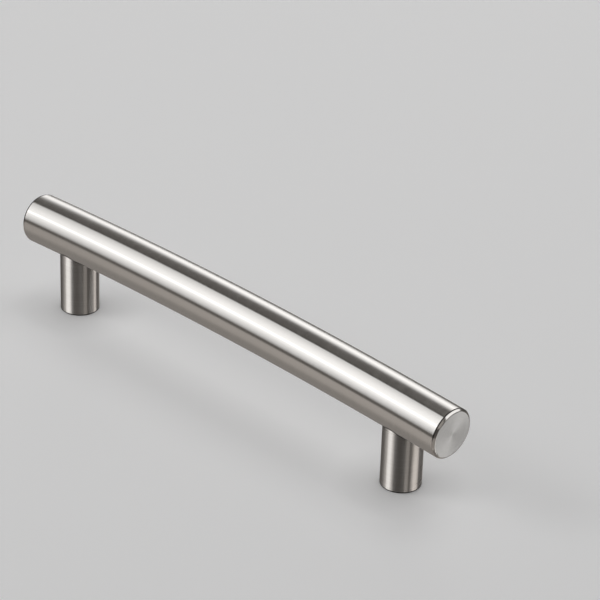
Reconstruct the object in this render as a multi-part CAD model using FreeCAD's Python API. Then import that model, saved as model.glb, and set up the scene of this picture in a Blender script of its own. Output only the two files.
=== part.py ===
# Bridge pull handle: a slightly bowed round bar held clear of the drawer front by two round posts.
# The bar is a tube closed by a turned cap at each end. Inside it, over each post, lies a threaded slug.
# A headless stud joins each post to its slug, and a blind hole in the post's foot takes the drawer screw.
# The frame: X along the bar, Z away from the drawer front, origin between the feet on the mounting plane.
import FreeCAD
import Part
import math
import os

# Driving dimensions of the bar, in millimetres.
hole_centres = 128.0
end_overhang = 17.0
bar_diameter = 14.5
bar_wall = 1.2
bow_rise = 2.1
projection = 32.0
bar_rim_break = 0.1

# The end caps.
cap_land = 0.12
cap_bevel = 0.55
cap_corner = 0.06
cap_shank = 7.0
cap_clearance = 0.03
cap_relief_width = 0.8
cap_relief_depth = 0.3
cap_lead_in = 0.7
cap_floor = 2.5
cap_shank_wall = 2.4

# The posts.
post_diameter = 11.3
post_foot_break = 0.25
saddle_clearance = 0.03
screw_core_diameter = 3.3
screw_mouth_break = 0.55
screw_hole_web = 2.7
drill_point_angle = 118.0

# The studs and the slugs that they screw into.
stud_diameter = 4.48
stud_clearance = 0.02
stud_in_post = 4.6
stud_in_slug = 5.6
stud_end_break = 0.4
stud_key_flats = 2.5
stud_key_depth = 2.4
stud_hole_overrun = 0.3
bar_hole_clearance = 0.36
slug_clearance = 0.05
slug_end_break = 0.5
slug_to_cap_gap = 1.5

# Sizes that follow from them.
bar_length = hole_centres + 2 * end_overhang
bar_radius = bar_diameter / 2
bore_radius = bar_radius - bar_wall
bar_axis_top = projection - bar_radius
bow_radius = (bar_length ** 2 / 4 + bow_rise ** 2) / (2 * bow_rise)
cap_head = bar_rim_break + cap_land + cap_corner + cap_bevel
tube_half_length = bar_length / 2 - cap_head
slug_length = 2 * (end_overhang - cap_head - cap_shank - slug_to_cap_gap)
post_radius = post_diameter / 2
stud_hole_radius = stud_diameter / 2 + stud_clearance
stud_length = stud_in_post + bar_wall + stud_in_slug

X = FreeCAD.Vector(1, 0, 0)
Y = FreeCAD.Vector(0, 1, 0)
Z = FreeCAD.Vector(0, 0, 1)
ORIGIN = FreeCAD.Vector(0, 0, 0)
SIDES = {"left": -1, "right": 1}


def bar_axis_height(x):
    """Height of the bowed centre line above the mounting plane at a distance x from the middle."""
    return bar_axis_top - bow_radius + math.sqrt(bow_radius ** 2 - x ** 2)


def post_run(side):
    """Distance along the bowed centre line from the bar's middle to a post's axis."""
    return side * bow_radius * math.asin(hole_centres / 2 / bow_radius)


def stud_base():
    """Height of the stud's lower end, which stands in the post below the bar's underside."""
    return bar_axis_height(hole_centres / 2) - bar_radius - stud_in_post


def onto_bar(shape, run):
    """Carries a shape made about the origin, with X along the bar, to a place on the centre line."""
    moved = shape.copy()
    moved.translate(FreeCAD.Vector(0, 0, bar_axis_top))
    moved.rotate(FreeCAD.Vector(0, 0, bar_axis_top - bow_radius), Y, math.degrees(run / bow_radius))
    return moved


def bowed_rod(radius, start, end):
    """A round rod that follows the bowed centre line between two runs along it."""
    section = Part.Face(Part.Wire(Part.makeCircle(radius, ORIGIN, X)))
    hub = FreeCAD.Vector(0, 0, bar_axis_top - bow_radius)
    return onto_bar(section, start).revolve(hub, Y, math.degrees((end - start) / bow_radius))


def turned(points, axis):
    """A solid of revolution about X or Z from a closed outline of (distance along, radius) points."""
    across = Z if axis == X else X
    corners = [axis * along + across * radius for along, radius in points]
    outline = Part.Face(Part.makePolygon(corners + corners[:1]))
    return outline.revolve(ORIGIN, axis, 360)


def headless_rod(radius, length, end_break, axis):
    """A plain rod from the origin along X or Z, with the rims of both ends broken."""
    outline = [
        (0, 0),
        (0, radius - end_break),
        (end_break, radius),
        (length - end_break, radius),
        (length, radius - end_break),
        (length, 0),
    ]
    return turned(outline, axis)


def upright(radius, x, low, high):
    """A plain cylinder that stands between two heights at a distance x from the middle."""
    return Part.makeCylinder(radius, high - low, FreeCAD.Vector(x, 0, low), Z)


def break_rims(rod, radius, start, end, size):
    """The bowed rod with the sharp rim at each of its flat ends broken by a small cone."""
    rim = [(-2 * size, radius + size), (size, radius + size), (size, radius - 2 * size)]
    for facing, run in ((180, start), (0, end)):
        ring = turned(rim, X)
        ring.rotate(ORIGIN, Z, facing)
        rod = rod.cut(onto_bar(ring, run))
    return rod


def bar_tube():
    """The bowed tube, with lightly broken end rims and a clearance hole for each stud below."""
    tube = bowed_rod(bar_radius, -tube_half_length, tube_half_length)
    tube = break_rims(tube, bar_radius, -tube_half_length, tube_half_length, bar_rim_break)
    tube = tube.cut(bowed_rod(bore_radius, -bar_length / 2, bar_length / 2))
    for side in SIDES.values():
        x = side * hole_centres / 2
        hole_radius = stud_diameter / 2 + bar_hole_clearance
        tube = tube.cut(upright(hole_radius, x, stud_base(), bar_axis_height(x)))
    return tube


def end_cap(side):
    """A turned cap: a bevelled head flush with the tube and a relieved, hollow shank in its bore."""
    slope = cap_corner / math.sqrt(2)
    head = [
        (0, 0),
        (0, bar_radius - bar_rim_break),
        (bar_rim_break, bar_radius),
        (bar_rim_break + cap_land, bar_radius),
        (cap_head - cap_bevel + slope, bar_radius - slope),
        (cap_head - slope, bar_radius - cap_bevel + slope),
        (cap_head, bar_radius - cap_bevel - cap_corner),
        (cap_head, 0),
    ]
    shank_radius = bore_radius - cap_clearance
    shank = [
        (0, 0),
        (0, shank_radius - cap_relief_depth),
        (-cap_relief_width, shank_radius - cap_relief_depth),
        (-cap_relief_width, shank_radius),
        (cap_lead_in - cap_shank, shank_radius),
        (-cap_shank, shank_radius - cap_lead_in),
        (-cap_shank, shank_radius - cap_shank_wall),
        (-cap_floor, shank_radius - cap_shank_wall),
        (-cap_floor, 0),
    ]
    cap = turned(head, X).fuse(turned(shank, X)).removeSplitter()
    if side < 0:
        cap.rotate(ORIGIN, Z, 180)
    return onto_bar(cap, side * tube_half_length)


def screw_hole():
    """The blind tapping hole in a foot, with a coned mouth and the cone that the drill's point leaves."""
    radius = screw_core_diameter / 2
    point = radius / math.tan(math.radians(drill_point_angle / 2))
    tip = stud_base() - stud_hole_overrun - screw_hole_web
    outline = [
        (0, 0),
        (0, radius + screw_mouth_break),
        (screw_mouth_break, radius),
        (tip - point, radius),
        (tip, 0),
    ]
    return turned(outline, Z)


def post(side):
    """A round post: a saddle that fits the bar on top, a stud hole below it, a screw hole in its foot."""
    x = side * hole_centres / 2
    top = bar_axis_height(x)
    outline = [
        (0, 0),
        (0, post_radius - post_foot_break),
        (post_foot_break, post_radius),
        (top, post_radius),
        (top, 0),
    ]
    body = turned(outline, Z).cut(screw_hole())
    body.translate(FreeCAD.Vector(x, 0, 0))
    cutter_start = FreeCAD.Vector(-post_diameter, 0, 0)
    cutter = Part.makeCylinder(bar_radius + saddle_clearance, 2 * post_diameter, cutter_start, X)
    body = body.cut(onto_bar(cutter, post_run(side)))
    return body.cut(upright(stud_hole_radius, x, stud_base() - stud_hole_overrun, top))


def slug(side):
    """A straight slug inside the tube over a post, with a blind hole from below for the stud."""
    body = headless_rod(bore_radius - slug_clearance, slug_length, slug_end_break, X)
    body.translate(X * (-slug_length / 2))
    body = onto_bar(body, post_run(side))
    stud_top = stud_base() + stud_length
    return body.cut(upright(stud_hole_radius, side * hole_centres / 2, 0, stud_top + stud_hole_overrun))


def stud(side):
    """A headless stud with both ends broken and a hexagon key socket in its lower end."""
    reach = stud_key_flats / math.sqrt(3)
    corners = []
    for step in range(7):
        angle = math.radians(60 * step)
        corners.append(FreeCAD.Vector(reach * math.cos(angle), reach * math.sin(angle), 0))
    key = Part.Face(Part.makePolygon(corners)).extrude(Z * stud_key_depth)
    rod = headless_rod(stud_diameter / 2, stud_length, stud_end_break, Z).cut(key)
    rod.translate(FreeCAD.Vector(side * hole_centres / 2, 0, stud_base()))
    return rod


def main():
    parts = {"bar_tube": bar_tube()}
    for name, side in SIDES.items():
        parts["end_cap_" + name] = end_cap(side)
        parts["post_" + name] = post(side)
        parts["threaded_slug_" + name] = slug(side)
        parts["joining_stud_" + name] = stud(side)
    os.makedirs("parts", exist_ok=True)
    for name, shape in parts.items():
        shape.exportStep("parts/" + name + ".step")


main()
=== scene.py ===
"""Looks of the bridge pull handle: smooth brushed-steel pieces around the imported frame, on a pale floor."""
import math
import bpy
from mathutils import Matrix, Vector


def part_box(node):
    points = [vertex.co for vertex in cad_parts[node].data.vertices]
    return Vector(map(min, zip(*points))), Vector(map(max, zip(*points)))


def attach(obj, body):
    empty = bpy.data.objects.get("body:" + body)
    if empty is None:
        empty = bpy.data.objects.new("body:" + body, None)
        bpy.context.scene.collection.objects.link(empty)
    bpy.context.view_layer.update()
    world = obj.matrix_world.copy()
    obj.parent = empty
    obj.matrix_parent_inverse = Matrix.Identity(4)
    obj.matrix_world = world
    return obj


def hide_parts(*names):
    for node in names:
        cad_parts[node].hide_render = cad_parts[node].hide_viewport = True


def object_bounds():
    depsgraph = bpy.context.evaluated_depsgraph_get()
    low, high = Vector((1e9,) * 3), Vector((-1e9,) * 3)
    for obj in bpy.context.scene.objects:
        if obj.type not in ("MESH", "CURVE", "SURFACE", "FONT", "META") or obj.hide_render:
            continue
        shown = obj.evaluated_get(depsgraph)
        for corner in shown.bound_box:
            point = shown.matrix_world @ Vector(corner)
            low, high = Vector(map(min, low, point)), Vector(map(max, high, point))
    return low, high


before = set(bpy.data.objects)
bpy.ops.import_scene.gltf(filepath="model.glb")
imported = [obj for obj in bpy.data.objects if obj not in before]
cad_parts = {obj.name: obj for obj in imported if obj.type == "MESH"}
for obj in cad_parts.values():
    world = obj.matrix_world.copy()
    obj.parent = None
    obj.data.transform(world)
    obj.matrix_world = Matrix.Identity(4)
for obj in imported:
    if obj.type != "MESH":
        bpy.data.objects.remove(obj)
cad_low, cad_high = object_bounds()

# Sizes are in metres, angles in degrees.
MM = 0.001

# Read from the frame.
post_low, post_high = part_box("post_right")
stud_low, stud_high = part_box("joining_stud_right")
HOLE_HALF = (post_low.x + post_high.x) / 2
POST_RADIUS = (post_high.x - post_low.x) / 2
BAR_RADIUS = (cad_high.y - cad_low.y) / 2
BAR_TOP = cad_high.z - BAR_RADIUS
STUD_RADIUS = (stud_high.x - stud_low.x) / 2
STUD_BASE = stud_low.z

# Sizes that the solids have under the same names.
END_OVERHANG = 17 * MM
BAR_WALL = 1.2 * MM
BOW_RISE = 2.1 * MM
BAR_RIM_BREAK = 0.1 * MM
CAP_HEAD = 0.83 * MM
CAP_SHANK = 7 * MM
CAP_CLEARANCE = 0.03 * MM
CAP_RELIEF_WIDTH = 0.8 * MM
CAP_RELIEF_DEPTH = 0.3 * MM
CAP_LEAD_IN = 0.7 * MM
CAP_FLOOR = 2.5 * MM
CAP_SHANK_WALL = 2.4 * MM
POST_FOOT_BREAK = 0.25 * MM
SADDLE_CLEARANCE = 0.03 * MM
SCREW_CORE_DIAMETER = 3.3 * MM
SCREW_MOUTH_BREAK = 0.55 * MM
SCREW_HOLE_WEB = 2.7 * MM
DRILL_POINT_ANGLE = 118
STUD_CLEARANCE = 0.02 * MM
STUD_HOLE_OVERRUN = 0.3 * MM
BAR_HOLE_CLEARANCE = 0.36 * MM

# Sizes of the small forms that are added here: softened edges, dished faces, the thread and a band of painted shade
# above the foot's broken edge.
CAP_LAND = 0.07 * MM
CAP_CORNER = 0.16 * MM
CAP_LIP = 0.45 * MM
CAP_BEVEL_ANGLE = 45
CAP_DISH = 0.15 * MM
CAP_FACE_MIDDLE = 0.3 * MM
CAP_FACE_MARGIN = 0.02 * MM
SADDLE_BREAK = 0.14 * MM
POST_WALL_TOP = 15.4 * MM
FOOT_SHADE_BAND = 0.12 * MM
SCREW_MAJOR = 2.0 * MM
SCREW_PITCH = 0.7 * MM
THREAD_SLOPE = 2.7
THREAD_LEAD = 0.5
THREAD_STOP = 1.2

# Sizes that follow from them.
BAR_LENGTH = 2 * (HOLE_HALF + END_OVERHANG)
BOW_RADIUS = (BAR_LENGTH ** 2 / 4 + BOW_RISE ** 2) / (2 * BOW_RISE)
HUB = BAR_TOP - BOW_RADIUS
AXIS_AT_END = BAR_TOP - BOW_RISE
BORE_RADIUS = BAR_RADIUS - BAR_WALL
TUBE_HALF = BAR_LENGTH / 2 - CAP_HEAD
POST_RUN = BOW_RADIUS * math.asin(HOLE_HALF / BOW_RADIUS)
BAR_HOLE_RADIUS = STUD_RADIUS + BAR_HOLE_CLEARANCE
STUD_HOLE_RADIUS = STUD_RADIUS + STUD_CLEARANCE
STUD_HOLE_BASE = STUD_BASE - STUD_HOLE_OVERRUN
SADDLE_RADIUS = BAR_RADIUS + SADDLE_CLEARANCE
SCREW_CORE = SCREW_CORE_DIAMETER / 2
SCREW_TIP = STUD_HOLE_BASE - SCREW_HOLE_WEB
SCREW_POINT = SCREW_CORE / math.tan(math.radians(DRILL_POINT_ANGLE / 2))

# How finely the meshes are divided. A patch is the part of the bar's mesh round a stud hole.
SEGMENTS = 256
MIDDLE_ROWS = 14
END_ROWS = 5
PATCH_HALF = 3.4 * MM
PATCH_ROWS = 6
PATCH_SIDE = 24
PATCH_RINGS = 3
CAP_FACE_RINGS = 8
CAP_LIP_STEPS = 8
CAP_CORNER_STEPS = 6
POST_SEGMENTS = 192
SADDLE_RINGS = 7
POST_WALL_RINGS = 12
FOOT_STEPS = 3
THREAD_RINGS = 96
SHARP_ANGLE = 25

# The numbers of the finishes on a piece. JOINT carries painted shade in the seam's upper half, and SHADED is
# near-black painted shade.
TURNED, POLISHED, JOINT, SHADED = 0, 1, 2, 3


# Places on the bowed bar.
def on_bar(run, turn, radius):
    """A point at a run along the bowed centre line, turned from the top towards +Y, at a radius from it."""
    along = run / BOW_RADIUS
    reach = BOW_RADIUS + radius * math.cos(turn)
    return Vector((reach * math.sin(along), radius * math.sin(turn), HUB + reach * math.cos(along)))


def beside_bar(run, along, turn, radius):
    """A point of a piece turned about the straight tangent of the centre line at a run, at a distance along it."""
    lean = run / BOW_RADIUS
    tangent = Vector((math.cos(lean), 0, -math.sin(lean)))
    return on_bar(run, turn, radius) + tangent * along


# Mesh building.
class Shell:
    """Collects points and faces of one closed mesh."""

    def __init__(self):
        self.points = []
        self.faces = []
        self.finishes = []

    def face(self, corners, finish=TURNED):
        """Adds a face with the number of its finish."""
        self.faces.append(corners)
        self.finishes.append(finish)

    def ring(self, points):
        """Adds points and returns their numbers."""
        start = len(self.points)
        self.points.extend(points)
        return list(range(start, len(self.points)))

    def band(self, low, high, finish=TURNED):
        """Joins two closed rings of the same length with quads."""
        count = len(low)
        for i in range(count):
            j = (i + 1) % count
            self.face((low[i], low[j], high[j], high[i]), finish)

    def fan(self, ring, centre, flip=False):
        """Joins a closed ring to one point."""
        count = len(ring)
        for i in range(count):
            j = (i + 1) % count
            self.face((ring[j], ring[i], centre) if flip else (ring[i], ring[j], centre))

    def build(self, name, flip=False):
        """Makes the object, smooth but for its sharp edges."""
        faces = [tuple(reversed(face)) for face in self.faces] if flip else self.faces
        mesh = bpy.data.meshes.new(name)
        mesh.from_pydata([tuple(point) for point in self.points], [], faces)
        mesh.polygons.foreach_set("material_index", self.finishes)
        mesh.polygons.foreach_set("use_smooth", [True] * len(mesh.polygons))
        mesh.set_sharp_from_angle(angle=math.radians(SHARP_ANGLE))
        mesh.update()
        piece = bpy.data.objects.new(name, mesh)
        bpy.context.scene.collection.objects.link(piece)
        return piece


def turns(count=SEGMENTS):
    """The angles of a ring's points."""
    return [2 * math.pi * i / count for i in range(count)]


def spread(low, high, count):
    """Evenly spaced values from low to high, both included."""
    return [low + (high - low) * i / count for i in range(count + 1)]


def bar_runs(half):
    """Runs of the bar's rows. Rows lie at the edges of the patch round each stud hole."""
    near, far = POST_RUN - PATCH_HALF, POST_RUN + PATCH_HALF
    right = spread(0, near, MIDDLE_ROWS) + spread(near, far, PATCH_ROWS)[1:] + spread(far, half, END_ROWS)[1:]
    return [-run for run in reversed(right[1:])] + right


def bar_shell():
    """The bowed tube: outside, broken rims, flat ends, bore, and a hole for each stud in its underside."""
    shell = Shell()
    angles = turns()
    outer_rows = bar_runs(TUBE_HALF - BAR_RIM_BREAK)
    inner_rows = bar_runs(TUBE_HALF)
    outer = [shell.ring([on_bar(run, a, BAR_RADIUS) for a in angles]) for run in outer_rows]
    inner = [shell.ring([on_bar(run, a, BORE_RADIUS) for a in angles]) for run in inner_rows]
    rims = [shell.ring([on_bar(run, a, BAR_RADIUS - BAR_RIM_BREAK) for a in angles])
            for run in (-TUBE_HALF, TUBE_HALF)]
    bottom = SEGMENTS // 2
    first, last = bottom - PATCH_SIDE, bottom + PATCH_SIDE
    starts = [min(range(len(outer_rows)), key=lambda i: abs(outer_rows[i] - run))
              for run in (-POST_RUN - PATCH_HALF, POST_RUN - PATCH_HALF)]

    def in_patch(row, column):
        return first <= column < last and any(start <= row < start + PATCH_ROWS for start in starts)

    for rows, grid, turned in ((outer_rows, outer, False), (inner_rows, inner, True)):
        for row in range(len(rows) - 1):
            for column in range(SEGMENTS):
                if in_patch(row, column):
                    continue
                other = (column + 1) % SEGMENTS
                face = (grid[row][column], grid[row + 1][column], grid[row + 1][other], grid[row][other])
                shell.face(tuple(reversed(face)) if turned else face)
    # The tube's broken rims carry the seam's painted shade.
    shell.band(outer[0], rims[0], JOINT)
    shell.band(rims[0], inner[0])
    shell.band(rims[1], outer[-1], JOINT)
    shell.band(inner[-1], rims[1])

    for side, start in ((-1, starts[0]), (1, starts[1])):
        edge = [(start + i, first) for i in range(PATCH_ROWS)]
        edge += [(start + PATCH_ROWS, column) for column in range(first, last)]
        edge += [(start + PATCH_ROWS - i, last) for i in range(PATCH_ROWS)]
        edge += [(start, column) for column in range(last, first, -1)]
        headings = []
        for row, column in edge:
            across = BAR_RADIUS * math.sin(angles[column])
            along = outer_rows[row] - side * POST_RUN
            headings.append(math.atan2(across, along))
        mouths = []
        walls = ((outer_rows, outer, BAR_RADIUS, False), (inner_rows, inner, BORE_RADIUS, True))
        for rows, grid, radius, turned in walls:
            before = [grid[row][column] for row, column in edge]
            places = [(rows[row], angles[column]) for row, column in edge]
            goals = []
            for heading in headings:
                y = BAR_HOLE_RADIUS * math.sin(heading)
                x = side * HOLE_HALF + BAR_HOLE_RADIUS * math.cos(heading)
                turn = math.pi - math.asin(y / radius)
                goals.append((BOW_RADIUS * math.asin(x / (BOW_RADIUS + radius * math.cos(turn))), turn))
            for step in range(1, PATCH_RINGS + 1):
                share = step / PATCH_RINGS
                ring = shell.ring([
                    on_bar(a + (c - a) * share, b + (d - b) * share, radius)
                    for (a, b), (c, d) in zip(places, goals)])
                if turned:
                    shell.band(ring, before)
                else:
                    shell.band(before, ring)
                before = ring
            mouths.append(before)
        shell.band(mouths[0], mouths[1])
    return shell.build("brushed_bar")


def arc(centre, radius, start, end, steps):
    """Points of an arc about (along, radius) centre between two angles in degrees."""
    return [(centre[0] + radius * math.cos(math.radians(a)), centre[1] + radius * math.sin(math.radians(a)))
            for a in spread(start, end, steps)]


def cap_outline():
    """Outline of a turned cap from its face to its hollow, as (along, radius, finish)."""
    soft = CAP_CORNER
    share = math.tan(math.radians(CAP_BEVEL_ANGLE / 2))
    start = BAR_RIM_BREAK + CAP_LAND
    rim = BAR_RADIUS - (CAP_HEAD - start - soft * share) - CAP_LIP * share
    slope = CAP_DISH / rim
    tilt = math.degrees(math.atan(slope))
    radii = spread(CAP_FACE_MIDDLE, rim - CAP_FACE_MARGIN, CAP_FACE_RINGS)
    face = [(CAP_HEAD - slope * (rim - radius), radius, TURNED) for radius in radii]
    lip = arc((CAP_HEAD - CAP_LIP, rim), CAP_LIP, -tilt, CAP_BEVEL_ANGLE, CAP_LIP_STEPS)
    corner = arc((start, BAR_RADIUS - soft), soft, CAP_BEVEL_ANGLE, 90, CAP_CORNER_STEPS)
    # The cap's corner and the groove's edge carry the seam's painted shade.
    bevel = [(*point, POLISHED) for point in lip] + [(*point, JOINT) for point in corner]
    groove = [(BAR_RIM_BREAK, BAR_RADIUS, JOINT), (0, BAR_RADIUS - BAR_RIM_BREAK, TURNED)]
    shank = BORE_RADIUS - CAP_CLEARANCE
    relief = shank - CAP_RELIEF_DEPTH
    hollow = shank - CAP_SHANK_WALL
    inside = [(0, relief), (-CAP_RELIEF_WIDTH, relief), (-CAP_RELIEF_WIDTH, shank)]
    inside += [(CAP_LEAD_IN - CAP_SHANK, shank), (-CAP_SHANK, shank - CAP_LEAD_IN)]
    inside += [(-CAP_SHANK, hollow), (-CAP_FLOOR, hollow)]
    return face + bevel + groove + [(*point, TURNED) for point in inside]


def cap_shell(name, side):
    """A bevelled cap with its relieved, hollow shank inside the tube's end."""
    shell = Shell()
    outline = cap_outline()
    run = side * TUBE_HALF
    rings = [shell.ring([beside_bar(run, side * along, a, radius) for a in turns()])
             for along, radius, _ in outline]
    for i in range(len(rings) - 1):
        shell.band(rings[i], rings[i + 1], outline[i][2])
    ends = [outline[0][0], outline[-1][0]]
    middle = shell.ring([beside_bar(run, side * along, 0, 0) for along in ends])
    shell.fan(rings[0], middle[0], flip=True)
    shell.fan(rings[-1], middle[1])
    return shell.build(name, flip=side > 0)


def saddle_height(side, x, y):
    """Height of the saddle that the bar lies in, at a place across a post."""
    lean = side * POST_RUN / BOW_RADIUS
    centre = on_bar(side * POST_RUN, 0, 0)
    drop = math.sqrt(SADDLE_RADIUS ** 2 - y ** 2)
    return centre.z - (drop + (x - centre.x) * math.sin(lean)) / math.cos(lean)


def thread_radius(turn, height):
    """Radius of the screw hole's wall, cut by a right-handed thread that fades in at the mouth and out above."""
    low, high = SCREW_MOUTH_BREAK, SCREW_TIP - SCREW_POINT
    phase = (height / SCREW_PITCH - turn / (2 * math.pi)) % 1
    cut = min(1.0, max(0.0, THREAD_SLOPE / 2 - THREAD_SLOPE * abs(phase - 0.5)))
    fade_in = (height - low) / (THREAD_LEAD * SCREW_PITCH)
    fade_out = max(0.0, high - THREAD_STOP * SCREW_PITCH - height) / SCREW_PITCH
    return SCREW_CORE + (SCREW_MAJOR - SCREW_CORE) * cut * max(0.0, min(1.0, fade_in, fade_out))


def post_shell(name, side):
    """A post: stud hole, saddle, wall, broken foot edge, foot face and threaded screw hole, as one skin."""
    shell = Shell()
    angles = turns(POST_SEGMENTS)
    x0 = side * HOLE_HALF

    def level(radius, height):
        return shell.ring([Vector((x0 + radius * math.cos(a), radius * math.sin(a), height)) for a in angles])

    def on_saddle(radius, lower=0.0):
        return shell.ring([
            Vector((x0 + radius * math.cos(a), radius * math.sin(a),
                    saddle_height(side, x0 + radius * math.cos(a), radius * math.sin(a)) - lower))
            for a in angles])

    rings = [level(STUD_HOLE_RADIUS, STUD_HOLE_BASE)]
    rings += [on_saddle(radius) for radius in spread(STUD_HOLE_RADIUS, POST_RADIUS - SADDLE_BREAK, SADDLE_RINGS)]
    saddle = len(rings) - 1
    rings.append(on_saddle(POST_RADIUS, SADDLE_BREAK))
    wall = spread(POST_FOOT_BREAK + FOOT_SHADE_BAND, POST_WALL_TOP, POST_WALL_RINGS)
    rings += [level(POST_RADIUS, height) for height in reversed(wall)]
    foot = len(rings) - 1
    rings.append(level(POST_RADIUS, POST_FOOT_BREAK))
    for radius, height in reversed(arc((0, 0), POST_FOOT_BREAK, -90, 0, FOOT_STEPS)[:-1]):
        rings.append(level(POST_RADIUS - POST_FOOT_BREAK + radius, POST_FOOT_BREAK + height))
    sole = len(rings) - 1
    rings.append(level(SCREW_CORE + SCREW_MOUTH_BREAK, 0))
    for height in spread(SCREW_MOUTH_BREAK, SCREW_TIP - SCREW_POINT, THREAD_RINGS):
        rings.append(shell.ring([
            Vector((x0 + thread_radius(a, height) * math.cos(a), thread_radius(a, height) * math.sin(a), height))
            for a in angles]))
    for i in range(len(rings) - 1):
        # Painted shade on the saddle's broken edge, and on the band and broken edge at the foot.
        shell.band(rings[i], rings[i + 1], SHADED if i == saddle or foot <= i < sole else TURNED)
    middle = shell.ring([Vector((x0, 0, STUD_HOLE_BASE)), Vector((x0, 0, SCREW_TIP))])
    shell.fan(rings[0], middle[0], flip=True)
    shell.fan(rings[-1], middle[1])
    return shell.build(name, flip=True)


# Shader helpers.
class Graph:
    """Short calls that add nodes to a node tree and return what they put out."""

    def __init__(self, tree):
        self.tree = tree
        tree.nodes.clear()

    def node(self, kind, links=None, values=None, **settings):
        made = self.tree.nodes.new(kind)
        for key, value in settings.items():
            setattr(made, key, value)
        for key, value in (values or {}).items():
            made.inputs[key].default_value = value
        for key, value in (links or {}).items():
            self.tree.links.new(value, made.inputs[key])
        return made

    def math(self, operation, a, b=0.0, clamp=False):
        made = self.node("ShaderNodeMath", operation=operation, use_clamp=clamp)
        for socket, value in zip(made.inputs, (a, b)):
            if isinstance(value, (int, float)):
                socket.default_value = value
            else:
                self.tree.links.new(value, socket)
        return made.outputs[0]

    def total(self, terms):
        result = terms[0]
        for term in terms[1:]:
            result = self.math("ADD", result, term)
        return result

    def product(self, *factors):
        result = factors[0]
        for factor in factors[1:]:
            result = self.math("MULTIPLY", result, factor)
        return result

    def remap(self, value, low, high, to_low=0.0, to_high=1.0, kind="LINEAR"):
        made = self.node("ShaderNodeMapRange", links={"Value": value}, interpolation_type=kind,
                         values={"From Min": low, "From Max": high, "To Min": to_low, "To Max": to_high})
        return made.outputs["Result"]

    def window(self, value, low, high, low_soft, high_soft):
        """1 between low and high, 0 outside, with edges as soft as given."""
        rise = self.remap(value, low - low_soft, low + low_soft, kind="SMOOTHSTEP")
        fall = self.remap(value, high - high_soft, high + high_soft, 1.0, 0.0, kind="SMOOTHSTEP")
        return self.math("MULTIPLY", rise, fall)

    def steps(self, value, stops):
        """Straight runs between (value, result) stops."""
        terms = []
        for (a, low), (b, high) in zip(stops, stops[1:]):
            terms.append(self.remap(value, a, b, 0.0, high - low))
        return self.math("ADD", self.total(terms), stops[0][1])

    def split(self, vector):
        made = self.node("ShaderNodeSeparateXYZ", links={0: vector})
        return made.outputs

    def join(self, x, y, z):
        return self.node("ShaderNodeCombineXYZ", links={0: x, 1: y, 2: z}).outputs[0]


def noise(graph, vector, scale, detail=2.0, roughness=0.5):
    """A value of 0 to 1 that wanders through space."""
    made = graph.node("ShaderNodeTexNoise", links={"Vector": vector},
                      values={"Scale": scale, "Detail": detail, "Roughness": roughness})
    return made.outputs["Fac"]


# Materials. Colours are as (red, green, blue). A span is what a value runs between.
STEEL = (0.66, 0.642, 0.62)
CAP_TINT = (0.65, 0.641, 0.626)
SLUG_TINT = (0.5, 0.5, 0.5)
STUD_TINT = (0.42, 0.42, 0.43)
JOINT_STEEL = (0.6, 0.57, 0.54)
# Painted contact shade on the bar round the tops of the posts.
POST_PAINTED_SHADE = (0.04, 0.036, 0.033)
# Painted shade in the upper half of the seam between tube and cap.
SEAM_PAINTED_SHADE = (0.045, 0.04, 0.036)
# Near-black painted shade on the posts' saddle break and foot ring.
JOINT_PAINTED_SHADE = (0.012, 0.011, 0.01)
GROOVE_DEPTH = 0.006 * MM
MARK_DEPTH = 0.01 * MM
MARK_STRENGTH = 0.2
# How far out from each post and how low on the bar its painted contact shade lies.
POST_SHADE_REACH = (POST_RADIUS + 0.15 * MM, POST_RADIUS + 0.4 * MM)
POST_SHADE_HEIGHT = (AXIS_AT_END - 3 * MM, AXIS_AT_END - 2 * MM)
# Between these heights the seam's painted shade comes in.
SEAM_SHADE_HEIGHT = (AXIS_AT_END + 0.3 * MM, AXIS_AT_END + 1.9 * MM)
# Heights that leave the joint's painted shade dark everywhere.
ALL_SHADE_HEIGHT = (-1.0, -0.9)
NOISE_SPAN = (0.3, 0.7)
GROOVE_SPAN = (0.36, 0.64)
GROOVE_LENGTH = 0.02
GROOVE_SHARE = 0.7
BROAD_SHARE = 0.3
CLOUD_SCALE = 45.0
CLOUD_ROUGHNESS = 0.006
MARK_SCALE = 2500.0
MARK_LENGTH = 0.05
MARK_ROUGHNESS = 0.03
SPECK_SCALE = 6000.0
SPECK_UNEVENNESS = 0.05

# The floor, its glow, which is painted light, and the painted contact shade that dims the glow near the pieces.
FLOOR_REACH = 30.0
FLOOR_TINT = (0.6, 0.598, 0.598)
FLOOR_CLOUD_SCALE = 9.0
FLOOR_CLOUD_SHADE = 0.985
FLOOR_ROUGHNESS = 0.35
FLOOR_SHINE = 0.06
FLOOR_GLOW = 0.387
FLOOR_GLOW_TINT = (1.0, 0.996, 0.996)
CONTACT_REACH = 14 * MM
CONTACT_DEPTH = 1.45


def finished(name, graph, material, colour, rough, bump, tangent=None, metallic=1.0, **values):
    """Ends a material's nodes in one shader."""
    links = {"Base Color": colour, "Roughness": rough, "Normal": bump}
    if tangent is not None:
        links["Tangent"] = tangent
    numbers = {"Metallic": metallic}
    numbers.update({key.replace("_", " "): value for key, value in values.items()})
    surface = graph.node("ShaderNodeBsdfPrincipled", links=links, values=numbers)
    graph.node("ShaderNodeOutputMaterial", links={"Surface": surface.outputs["BSDF"]})
    return material


def blend_colour(graph, factor, low, high):
    """A colour between two, by a factor."""
    made = graph.node("ShaderNodeMix", data_type="RGBA", links={"Factor": factor})
    made.inputs["A"].default_value = (*low, 1.0)
    made.inputs["B"].default_value = (*high, 1.0)
    return made.outputs["Result"]


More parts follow.
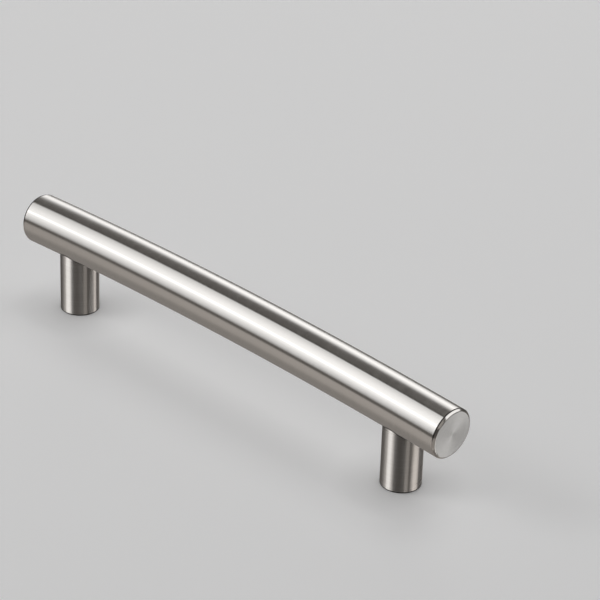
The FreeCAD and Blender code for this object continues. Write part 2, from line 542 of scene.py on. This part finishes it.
def paint_contact_shade(graph, colour, x, y, z):
    """Painted contact shade on the bar's underside, in a thin dark line round the top of each post."""
    beside = graph.math("SUBTRACT", graph.math("ABSOLUTE", x), HOLE_HALF)
    reach = graph.math("SQRT", graph.math("ADD", graph.product(beside, beside), graph.product(y, y)))
    line = graph.product(graph.remap(reach, *POST_SHADE_REACH, 1.0, 0.0),
                         graph.remap(z, *POST_SHADE_HEIGHT, 1.0, 0.0))
    made = graph.node("ShaderNodeMix", data_type="RGBA", links={"Factor": line, "A": colour})
    made.inputs["B"].default_value = (*POST_PAINTED_SHADE, 1.0)
    return made.outputs["Result"]


def brushed_steel(name, axis, tint, roughness, bowed=False, turned_about=None, anisotropy=1.0,
                  grooves=4200.0, contrast=0.03, relief=1.0, unevenness=0.04, length=0.055):
    """Steel brushed in rings about an axis. The grooves vary its colour, roughness and relief along the axis."""
    material = bpy.data.materials.new(name)
    material.use_nodes = True
    graph = Graph(material.node_tree)
    place = graph.node("ShaderNodeTexCoord").outputs["Object"]
    x, y, z = graph.split(place)
    if turned_about is not None:
        up = graph.math("SUBTRACT", z, turned_about)
        across = graph.math("SQRT", graph.math("ADD", graph.product(y, y), graph.product(up, up)))
        other = (y, z)
    elif bowed:
        across = graph.product(graph.math("ARCTAN2", x, graph.math("SUBTRACT", z, HUB)), BOW_RADIUS)
        other = (y, z)
    else:
        across = z
        other = (x, y)

    def marks(scale, stretch, detail):
        beside = [graph.math("MULTIPLY", value, stretch) for value in other]
        return noise(graph, graph.join(across, *beside), scale, detail, 0.6)

    fine = marks(grooves, GROOVE_LENGTH, 3.0)
    broad = marks(grooves * 0.25, length, 2.0)
    waves = marks(grooves * 0.6, length, 2.0)
    cloud = noise(graph, place, CLOUD_SCALE, 2.0)
    mixed = graph.math("ADD", graph.product(fine, GROOVE_SHARE), graph.product(broad, BROAD_SHARE))
    rough = graph.math("ADD", graph.remap(mixed, *NOISE_SPAN, roughness - unevenness, roughness + unevenness),
                       graph.remap(cloud, *NOISE_SPAN, -CLOUD_ROUGHNESS, CLOUD_ROUGHNESS))
    low = [c * (1 - contrast) for c in tint]
    high = [c * (1 + contrast) for c in tint]
    colour = blend_colour(graph, graph.remap(mixed, *GROOVE_SPAN), low, high)
    # Painted contact shade round the tops of the posts.
    if bowed:
        colour = paint_contact_shade(graph, colour, x, y, z)
    bump = graph.node("ShaderNodeBump", links={"Height": waves},
                      values={"Strength": 1.0, "Distance": relief * GROOVE_DEPTH})
    tangent = graph.node("ShaderNodeTangent", direction_type="RADIAL", axis=axis).outputs["Tangent"]
    return finished(name, graph, material, colour, rough, bump.outputs["Normal"], tangent,
                    Anisotropic=anisotropy, Anisotropic_Rotation=0.25)


def plain_steel(name, axis, tint, roughness, contrast=0.08):
    """Turned, polished or plated steel with faint turning marks."""
    material = bpy.data.materials.new(name)
    material.use_nodes = True
    graph = Graph(material.node_tree)
    place = graph.node("ShaderNodeTexCoord").outputs["Object"]
    x, y, z = graph.split(place)
    along = x if axis == "X" else z
    beside = [graph.math("MULTIPLY", value, MARK_LENGTH) for value in (y, z)]
    marks = noise(graph, graph.join(along, *beside), MARK_SCALE)
    rough = graph.remap(marks, *NOISE_SPAN, roughness - MARK_ROUGHNESS, roughness + MARK_ROUGHNESS)
    colour = blend_colour(graph, graph.remap(marks, *NOISE_SPAN), [c * (1 - contrast) for c in tint], tint)
    bump = graph.node("ShaderNodeBump", links={"Height": marks},
                      values={"Strength": MARK_STRENGTH, "Distance": MARK_DEPTH})
    return finished(name, graph, material, colour, rough, bump.outputs["Normal"])


def painted_shade_steel(name, heights, shade_colour, roughness=0.45):
    """Steel down in a joint, darkened by painted shade between two heights and dark above them."""
    material = bpy.data.materials.new(name)
    material.use_nodes = True
    graph = Graph(material.node_tree)
    place = graph.node("ShaderNodeTexCoord").outputs["Object"]
    specks = noise(graph, place, SPECK_SCALE)
    height = graph.remap(graph.split(place)[2], *heights)
    ragged = graph.remap(specks, *NOISE_SPAN, -SPECK_UNEVENNESS, SPECK_UNEVENNESS)
    share = graph.math("ADD", height, ragged, clamp=True)
    colour = blend_colour(graph, share, JOINT_STEEL, shade_colour)
    rough = graph.remap(specks, *NOISE_SPAN, roughness - SPECK_UNEVENNESS, roughness + SPECK_UNEVENNESS)
    bump = graph.node("ShaderNodeBump", links={"Height": specks},
                      values={"Strength": MARK_STRENGTH, "Distance": MARK_DEPTH})
    return finished(name, graph, material, colour, rough, bump.outputs["Normal"])


def pale_floor():
    """Pale grey matt board. It glows a little, as painted light, and an occlusion node dims the glow close to the
    pieces as painted contact shade, so that its shadows stay soft.
    """
    material = bpy.data.materials.new("pale_board")
    material.use_nodes = True
    graph = Graph(material.node_tree)
    place = graph.node("ShaderNodeTexCoord").outputs["Object"]
    cloud = noise(graph, place, FLOOR_CLOUD_SCALE, 3.0)
    darker = [c * FLOOR_CLOUD_SHADE for c in FLOOR_TINT]
    colour = blend_colour(graph, graph.remap(cloud, *NOISE_SPAN), darker, FLOOR_TINT)
    # Painted contact shade: the glow is dimmed where the pieces are near.
    near = graph.node("ShaderNodeAmbientOcclusion", values={"Distance": CONTACT_REACH}, samples=16).outputs["AO"]
    glow = graph.product(graph.math("POWER", near, CONTACT_DEPTH), FLOOR_GLOW)
    surface = graph.node(
        "ShaderNodeBsdfPrincipled", links={"Base Color": colour, "Emission Strength": glow},
        values={"Roughness": FLOOR_ROUGHNESS, "Specular IOR Level": FLOOR_SHINE,
                "Emission Color": (*FLOOR_GLOW_TINT, 1.0)})
    graph.node("ShaderNodeOutputMaterial", links={"Surface": surface.outputs["BSDF"]})
    return material


# Light: its tints, where the panels aim, and how high the posts' strips reach.
NEUTRAL = (1.0, 1.0, 1.0)
WARM = (1.0, 0.934, 0.875)
PIECE_MIDDLE = (0, 0, 12 * MM)
POST_MIDDLE = 8 * MM
POST_ELEVATIONS = (-60, 2)

# The world's levels, as (pitch, level) where they change along the bar's section.
# Pitch is the angle over the bar from the front horizon, and heading is from +X to +Y.
SURROUND = 0.59
KEY_LEVELS = ((0, 0.58), (9, 0.97), (15, 1.13), (21, 1.29), (27, 1.47), (32.5, 1.64), (35, 2.05), (41, 2.05),
              (43.5, 1.64), (49, 1.54), (61, 1.38), (73, 1.13), (84, 0.97))
BACK_LEVELS = ((112, 0.0), (122, 0.03), (129, 0.17), (136, 0.65), (144, 1.17), (154, 1.52), (164, 1.35),
               (174, 0.95))
POLE_LEVEL = 1.2
GAP_LEVEL = 0.102
SIDE_LEVEL = 0.07
SILL_LEVELS = ((-13, 0.1), (-4, 0.145), (2, 0.28))
BELOW_LEVELS = ((-170, 0.2), (-120, 0.28), (-62, 0.3), (-42, 0.48), (-16, 0.5))
FRONT_FLOOR = 0.1

# The world's edges, as (from, to), and its windows, as (from, to, softness at the start, softness at the end).
# X and Z are the parts of a direction, and the rest are pitches or headings.
HORIZON_Z = (-0.05, 0.02)
KEY_X = (-0.86, 0.1, 0.06, 0.04)
KEY_START = (-2.9, 2.1)
KEY_END = (84.6, 86.6)
KEY_NARROWING = 24.0
KEY_SLANT = (-2.1, 2.1)
RIGHT_X = (0.46, 0.74, 0.03, 0.03)
RIGHT_START = (42.0, 47.0)
BACK_X = (-0.95, 0.1, 0.05, 0.04)
BACK_END = (174.8, 178.8)
BACK_NARROWING = 28.0
BACK_SLANT = (6.4, -3.4)
NARROWING_X = (-0.4, -0.12)
SLANT_X = (-0.68, -0.54)
POLE_Z = (0.18, 0.26)
POLE_HEADINGS = (4.0, 74.0, 2.0, 4.0)
GAP_PITCHES = (85.6, 190.0, 1.0, 8.0)
SIDE_X = (0.7, 0.78)
LEFT_X = (-0.12, -0.04)
LEFT_END_X = (-0.8, -0.72)
LEFT_END_SHADE = (0.42, 1.0)
SILL_PITCHES = (-13.5, 1.0, 1.0, 2.5)
BELOW_END = (-14.5, -12.5)


def studio_world():
    """Soft panels all round, seen only in the metal: a key and a back panel over the bar, and dimmer ones below."""
    world = bpy.data.worlds.new("studio")
    bpy.context.scene.world = world
    world.use_nodes = True
    world.cycles_visibility.diffuse = False
    graph = Graph(world.node_tree)
    x, y, z = graph.split(graph.node("ShaderNodeTexCoord").outputs["Generated"])
    pitch = graph.math("DEGREES", graph.math("ARCTAN2", z, graph.math("MULTIPLY", y, -1.0)))
    heading = graph.math("DEGREES", graph.math("ARCTAN2", y, x))

    lower = graph.remap(z, *HORIZON_Z, 1.0, 0.0, "SMOOTHSTEP")
    upper = graph.math("SUBTRACT", 1.0, lower)
    over_front = graph.window(x, *KEY_X)
    over_right = graph.window(x, *RIGHT_X)
    over_back = graph.window(x, *BACK_X)
    inward = graph.remap(x, *NARROWING_X, 0.0, 1.0)
    key_low = graph.math("SUBTRACT", pitch, graph.product(inward, KEY_NARROWING))
    key_high = graph.math("ADD", pitch, graph.remap(x, *SLANT_X, *KEY_SLANT))
    back_low = graph.math("SUBTRACT", pitch, graph.remap(x, *SLANT_X, *BACK_SLANT))
    back_high = graph.math("ADD", pitch, graph.product(inward, BACK_NARROWING))
    front = graph.total([graph.product(over_front, graph.remap(key_low, *KEY_START, kind="SMOOTHSTEP")),
                         graph.product(over_right, graph.remap(pitch, *RIGHT_START, kind="SMOOTHSTEP"))])
    key = graph.product(front, graph.remap(key_high, *KEY_END, 1.0, 0.0, "SMOOTHSTEP"),
                        graph.steps(pitch, KEY_LEVELS))
    back = graph.product(over_back, graph.remap(back_high, *BACK_END, 1.0, 0.0, "SMOOTHSTEP"), upper,
                         graph.steps(back_low, BACK_LEVELS))
    pole = graph.product(graph.remap(z, *POLE_Z, kind="SMOOTHSTEP"), graph.window(heading, *POLE_HEADINGS),
                         POLE_LEVEL)
    gap = graph.product(upper, graph.window(pitch, *GAP_PITCHES), GAP_LEVEL)
    side = graph.product(upper, graph.remap(x, *SIDE_X), SIDE_LEVEL)

    left = graph.remap(x, *LEFT_X, 1.0, 0.0, "SMOOTHSTEP")
    left_end = graph.remap(x, *LEFT_END_X, *LEFT_END_SHADE)
    sill = graph.product(left, graph.window(pitch, *SILL_PITCHES), graph.steps(pitch, SILL_LEVELS))
    below = graph.product(left, left_end, lower, graph.remap(pitch, *BELOW_END, 1.0, 0.0),
                          graph.steps(pitch, BELOW_LEVELS))
    front_floor = graph.product(graph.math("SUBTRACT", 1.0, left), lower, FRONT_FLOOR)

    camera_ray = graph.node("ShaderNodeLightPath").outputs["Is Camera Ray"]
    seen = graph.math("SUBTRACT", 1.0, camera_ray)
    neutral = graph.product(graph.total([key, back, pole]), seen)
    warm = graph.product(graph.total([gap, side, sill, below, front_floor]), seen)
    plain = graph.product(camera_ray, SURROUND)
    layers = []
    for tint, level in ((NEUTRAL, neutral), (WARM, warm), (NEUTRAL, plain)):
        layer = graph.node("ShaderNodeBackground", values={"Color": (*tint, 1.0)}, links={"Strength": level})
        layers.append(layer.outputs[0])
    pair = graph.node("ShaderNodeAddShader", links={0: layers[0], 1: layers[1]}).outputs[0]
    whole = graph.node("ShaderNodeAddShader", links={0: pair, 1: layers[2]}).outputs[0]
    graph.node("ShaderNodeOutputWorld", links={"Surface": whole})


def panel(name, heading, elevation, width, height, level, receivers, aim=PIECE_MIDDLE, tint=NEUTRAL):
    """A soft panel a metre from its aim, with its sizes as angles seen from there. It lights only the receivers."""
    a = math.radians(heading)
    e = math.radians(elevation)
    light = bpy.data.lights.new(name, "AREA")
    light.shape = "RECTANGLE"
    light.size = 2 * math.tan(math.radians(width) / 2)
    light.size_y = 2 * math.tan(math.radians(height) / 2)
    light.energy = level * math.pi * light.size * light.size_y
    light.color = tint
    holder = bpy.data.objects.new(name, light)
    bpy.context.scene.collection.objects.link(holder)
    away = Vector((math.cos(a) * math.cos(e), math.sin(a) * math.cos(e), math.sin(e)))
    holder.location = Vector(aim) + away
    holder.rotation_mode = "QUATERNION"
    holder.rotation_quaternion = away.to_track_quat("Z", "Y")
    holder.visible_camera = False
    group = bpy.data.collections.new(name + "_receivers")
    for piece in receivers:
        group.objects.link(piece)
    holder.light_linking.receiver_collection = group


def upright(name, headings, elevations, level, receivers, **settings):
    """An upright panel over a range of headings and elevations."""
    a, b = headings
    low, high = elevations
    middle = math.radians(low + high) / 2
    width = 2 * math.degrees(math.atan(math.tan(math.radians(b - a) / 2) * math.cos(middle)))
    panel(name, (a + b) / 2, (low + high) / 2, width, high - low, level, receivers, **settings)


def post_panels(post, x, word, strips):
    """Upright strips that a post mirrors, each over a share of its width as the camera sees it."""
    base = math.degrees(math.atan2(CAMERA_PLACE.y, CAMERA_PLACE.x - x))
    for number, (low, high, level, tint) in enumerate(strips):
        headings = [base + 2 * math.degrees(math.asin(2 * share - 1)) for share in (low, high)]
        upright("post_panel_%s_%d" % (word, number), headings, POST_ELEVATIONS, level, [post],
                aim=(x, 0, POST_MIDDLE), tint=tint)


def add_floor():
    """A wide level board under the feet."""
    mesh = bpy.data.meshes.new("floor")
    corners = [(x * FLOOR_REACH, y * FLOOR_REACH, 0) for x, y in ((-1, -1), (1, -1), (1, 1), (-1, 1))]
    mesh.from_pydata(corners, [], [(0, 1, 2, 3)])
    floor = bpy.data.objects.new("floor", mesh)
    bpy.context.scene.collection.objects.link(floor)
    floor.data.materials.append(pale_floor())
    floor.visible_glossy = False
    floor.visible_shadow = False
    return floor


# Camera.
CAMERA_PLACE = Vector((494.61, -492.67, 422.98)) * MM
CAMERA_AZIMUTH = math.radians(43.633)
CAMERA_ELEVATION = math.radians(29.420)
CAMERA_ROLL = math.radians(2.0)
SENSOR = 36.0
IMAGE_WIDTH = 600
FOCAL_PIXELS = 2920.5
HALF_PIXEL = 0.5 / IMAGE_WIDTH


def add_camera():
    """The photograph's viewpoint."""
    data = bpy.data.cameras.new("camera")
    data.sensor_width = SENSOR
    data.lens = FOCAL_PIXELS / IMAGE_WIDTH * SENSOR
    data.clip_start = 0.01
    data.clip_end = 100.0
    camera = bpy.data.objects.new("camera", data)
    bpy.context.scene.collection.objects.link(camera)
    a, e = CAMERA_AZIMUTH, CAMERA_ELEVATION
    back = Vector((math.sin(a) * math.cos(e), -math.cos(a) * math.cos(e), math.sin(e)))
    right = Vector((math.cos(a), math.sin(a), 0))
    up = back.cross(right)
    turned = right * math.cos(CAMERA_ROLL) + up * math.sin(CAMERA_ROLL)
    upward = up * math.cos(CAMERA_ROLL) - right * math.sin(CAMERA_ROLL)
    axes = Matrix((turned, upward, back)).transposed()
    camera.matrix_world = Matrix.Translation(CAMERA_PLACE) @ axes.to_4x4()
    data.shift_x = -HALF_PIXEL
    data.shift_y = HALF_PIXEL
    bpy.context.scene.camera = camera


# Panels for the floor as (name, heading, elevation, width, height, level).
FLOOR_PANELS = (("floor_broad", 0, 90, 90, 90, 0.08), ("floor_back", 95, 62, 24, 24, 2.6),
                ("floor_front", -95, 65, 13, 24, 1.0), ("floor_left", -136, 35, 24, 18, 4.4))

# The bar's panel as (headings, elevations, level).
BAR_FILL = ((-88, -4), (-72, -8), 0.35)

# Panels for the right cap as (name, headings, elevations, level, tint). The left cap has them mirrored.
# The low one is the same for both, as (heading, elevation, width, height, level).
CAP_LOW = (0, -90, 60, 60, 0.12)
CAP_PANELS = (("front", (-85, -5), (-60, -17), 0.22, WARM), ("brow", (-48, -8), (12, 46), 0.3, WARM),
              ("lip", (-5, 22), (-65, -12), 1.1, NEUTRAL), ("side", (22, 47.5), (-65, -5), 0.12, NEUTRAL),
              ("sheen", (47.5, 62), (-65, -5), 0.56, NEUTRAL))

# Strips for the posts as (from, to, level, tint), the first two as shares of the post's width.
NEAR_STRIPS = ((0.163, 0.268, 0.84, NEUTRAL), (0.588, 0.674, 0.28, WARM), (0.757, 0.88, 0.77, WARM))
FAR_STRIPS = ((0.145, 0.268, 0.88, NEUTRAL), (0.36, 0.57, 0.035, WARM), (0.587, 0.682, 0.24, WARM),
              (0.850, 0.900, 0.95, WARM))

# Making.
bar_steel = brushed_steel("brushed_bar_steel", "X", STEEL, 0.2, bowed=True)
post_steel = brushed_steel("brushed_post_steel", "Z", STEEL, 0.28, grooves=2600.0, contrast=0.05, relief=0.05,
                           unevenness=0.012, length=0.022)
cap_steel = brushed_steel("turned_cap_steel", "X", CAP_TINT, 0.13, turned_about=AXIS_AT_END)
bevel_steel = plain_steel("polished_bevel_steel", "X", STEEL, 0.14, 0.02)
# Painted shade in the seam's upper half.
seam_painted_shade = painted_shade_steel("seam_painted_shade", SEAM_SHADE_HEIGHT, SEAM_PAINTED_SHADE)
# Near-black painted shade for the saddle break and the foot ring.
shaded_joint = painted_shade_steel("shaded_joint", ALL_SHADE_HEIGHT, JOINT_PAINTED_SHADE)
slug_steel = plain_steel("turned_slug_steel", "X", SLUG_TINT, 0.35)
stud_steel = plain_steel("plated_stud_steel", "Z", STUD_TINT, 0.4)


def place(piece, node, material, slot):
    """Gives a piece its finishes and body, and stands it in for its solid. The slot is not used."""
    for finish in (material, bevel_steel, seam_painted_shade, shaded_joint):
        piece.data.materials.append(finish)
    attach(piece, "root")
    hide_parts(node)
    return piece


bar = place(bar_shell(), "bar_tube", bar_steel, "bar_steel")
caps = []
posts = []
for word, side in (("left", -1), ("right", 1)):
    caps.append(place(cap_shell("turned_cap_" + word, side), "end_cap_" + word, cap_steel, "cap_steel"))
    posts.append(place(post_shell("brushed_post_" + word, side), "post_" + word, post_steel, "post_steel"))
    posts[-1].visible_glossy = False
    for node, material in (("threaded_slug_" + word, slug_steel), ("joining_stud_" + word, stud_steel)):
        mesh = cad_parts[node].data
        mesh.materials.clear()
        mesh.materials.append(material)

floor = add_floor()
studio_world()
for settings in FLOOR_PANELS:
    panel(*settings, [floor])
upright("bar_fill", *BAR_FILL, [bar], tint=WARM)
for cap, word, side in ((caps[0], "left", -1), (caps[1], "right", 1)):
    aim = (side * BAR_LENGTH / 2, 0, AXIS_AT_END)
    panel("cap_low_" + word, *CAP_LOW, [cap], aim=aim, tint=WARM)
    for name, headings, elevations, level, tint in CAP_PANELS:
        turned = headings if side > 0 else (180 - headings[1], 180 - headings[0])
        upright("cap_%s_%s" % (name, word), turned, elevations, level, [cap], aim=aim, tint=tint)
post_panels(posts[0], -HOLE_HALF, "far", FAR_STRIPS)
post_panels(posts[1], HOLE_HALF, "near", NEAR_STRIPS)
add_camera()
bpy.context.scene.view_settings.view_transform = "Standard"
